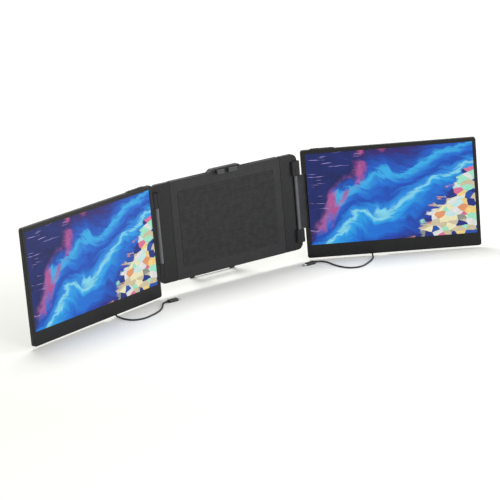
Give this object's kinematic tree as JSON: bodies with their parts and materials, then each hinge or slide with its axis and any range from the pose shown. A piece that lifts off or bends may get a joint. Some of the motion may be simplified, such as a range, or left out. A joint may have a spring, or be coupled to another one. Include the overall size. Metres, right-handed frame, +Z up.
{
  "type": "laptop screen extender",
  "caption": "Laptop screen extender: a plate with sliding wings hooks onto a laptop's lid and carries a screen on a double hinge at each side.",
  "frame": {"origin": "centre of the lid pad's face, where the back of the laptop's lid lies", "axes": "+Z up the lid, -Y out of the lid pad towards the user, +X to the user's right along the spread screens"},
  "size_m": [0.9732, 0.2864, 0.23],
  "materials": {
    "housing_plastic": "fine moulded grain, dark grey",
    "bezel_plastic": "satin moulded plastic",
    "arm_metal": "die-cast, dark grey powder coat",
    "link_metal": "anodised dark grey",
    "clamp_plastic": "moulded, dark grey",
    "finger_plastic": "moulded, mid grey",
    "soft_rubber": "matt black",
    "pin_steel": "turned steel",
    "screw_steel": "blackened steel",
    "stand_metal": "dark grey powder coat",
    "leg_metal": "satin",
    "screen_glass": "lit picture under a matt film",
    "light_box": "white",
    "circuit_board": "green board",
    "key_plastic": "satin dark grey",
    "cable_sheath": "soft black sheath",
    "plug_moulding": "moulded black"
  },
  "bodies": {
    "hub": {"hub_front_cover": "housing_plastic", "hub_rear_cover": "housing_plastic", "lid_pad": "soft_rubber", "slide_rails": "pin_steel", "clamp_guide": "pin_steel", "clamp_springs": "pin_steel", "hub_screws": "screw_steel", "stand_bracket": "stand_metal", "stand_pin": "pin_steel"},
    "clamp": {"clamp_bar": "clamp_plastic", "clamp_fingers": "finger_plastic", "clamp_liners": "soft_rubber"},
    "stand": {"stand_frame": "stand_metal"},
    "stand_extension": {"stand_legs": "leg_metal", "stand_feet": "soft_rubber"},
    "left_wing": {"left_wing_arm": "arm_metal", "left_wing_cover": "housing_plastic", "left_grip_pads": "soft_rubber", "left_wing_screws": "screw_steel", "left_wing_pin": "pin_steel", "left_wing_washers": "screw_steel"},
    "left_hinge_link": {"left_link": "link_metal", "left_screen_pin": "pin_steel"},
    "left_screen": {"left_front_bezel": "bezel_plastic", "left_display_panel": "screen_glass", "left_backlight": "light_box", "left_rear_cover": "housing_plastic", "left_hinge_bracket": "pin_steel", "left_main_board": "circuit_board", "left_usb_sockets": "pin_steel", "left_button_board": "circuit_board", "left_screen_screws": "screw_steel", "left_cable": "cable_sheath", "left_screen_plug": "plug_moulding", "left_laptop_plug": "plug_moulding"},
    "left_power_key": {"left_power_button": "key_plastic"},
    "left_menu_key": {"left_menu_rocker": "key_plastic"},
    "right_wing": {"right_wing_arm": "arm_metal", "right_wing_cover": "housing_plastic", "right_grip_pads": "soft_rubber", "right_wing_screws": "screw_steel", "right_wing_pin": "pin_steel", "right_wing_washers": "screw_steel"},
    "right_hinge_link": {"right_link": "link_metal", "right_screen_pin": "pin_steel"},
    "right_screen": {"right_front_bezel": "bezel_plastic", "right_display_panel": "screen_glass", "right_backlight": "light_box", "right_rear_cover": "housing_plastic", "right_hinge_bracket": "pin_steel", "right_main_board": "circuit_board", "right_usb_sockets": "pin_steel", "right_button_board": "circuit_board", "right_screen_screws": "screw_steel", "right_cable": "cable_sheath", "right_screen_plug": "plug_moulding", "right_laptop_plug": "plug_moulding"},
    "right_power_key": {"right_power_button": "key_plastic"},
    "right_menu_key": {"right_menu_rocker": "key_plastic"}
  },
  "joints": [
    {"name": "left_wing_slide", "type": "slide", "parent": "hub", "child": "left_wing", "axis": [-1, 0, 0], "range_m": [0, 0.045]},
    {"name": "left_wing_hinge", "type": "hinge", "parent": "left_wing", "child": "left_hinge_link", "pos_m": [-0.162, -0.001, 0], "axis": [0, 0, 1], "range_deg": [-20, 90]},
    {"name": "left_screen_hinge", "type": "hinge", "parent": "left_hinge_link", "child": "left_screen", "pos_m": [-0.175, -0.001, 0], "axis": [0, 0, 1], "range_deg": [-41.6, 73.4]},
    {"name": "left_power_press", "type": "slide", "parent": "left_screen", "child": "left_power_key", "axis": [0, 0, -1], "range_m": [0, 0.0006], "stiffness_N_per_m": 300},
    {"name": "left_menu_press", "type": "slide", "parent": "left_screen", "child": "left_menu_key", "axis": [0, 0, -1], "range_m": [0, 0.0006], "stiffness_N_per_m": 300},
    {"name": "right_wing_slide", "type": "slide", "parent": "hub", "child": "right_wing", "axis": [1, 0, 0], "range_m": [0, 0.045]},
    {"name": "right_wing_hinge", "type": "hinge", "parent": "right_wing", "child": "right_hinge_link", "pos_m": [0.162, -0.001, 0], "axis": [0, 0, -1], "range_deg": [-20, 90]},
    {"name": "right_screen_hinge", "type": "hinge", "parent": "right_hinge_link", "child": "right_screen", "pos_m": [0.1845, -0.001, 0], "axis": [0, 0, -1], "range_deg": [-59.8, 55.2]},
    {"name": "right_power_press", "type": "slide", "parent": "right_screen", "child": "right_power_key", "axis": [0, 0, -1], "range_m": [0, 0.0006], "stiffness_N_per_m": 300},
    {"name": "right_menu_press", "type": "slide", "parent": "right_screen", "child": "right_menu_key", "axis": [0, 0, -1], "range_m": [0, 0.0006], "stiffness_N_per_m": 300},
    {"name": "clamp_slide", "type": "slide", "parent": "hub", "child": "clamp", "axis": [0, 0, 1], "range_m": [0, 0.04], "stiffness_N_per_m": 60, "springref_m": -0.04, "deforming": ["clamp_springs"]},
    {"name": "stand_hinge", "type": "hinge", "parent": "hub", "child": "stand", "pos_m": [0, 0.0175, 0.038], "axis": [1, 0, 0], "range_deg": [-22, 38]},
    {"name": "stand_leg_slide", "type": "slide", "parent": "stand", "child": "stand_extension", "axis": [0, 0.3746, -0.9272], "range_m": [-0.033, 0.02]}
  ]
}
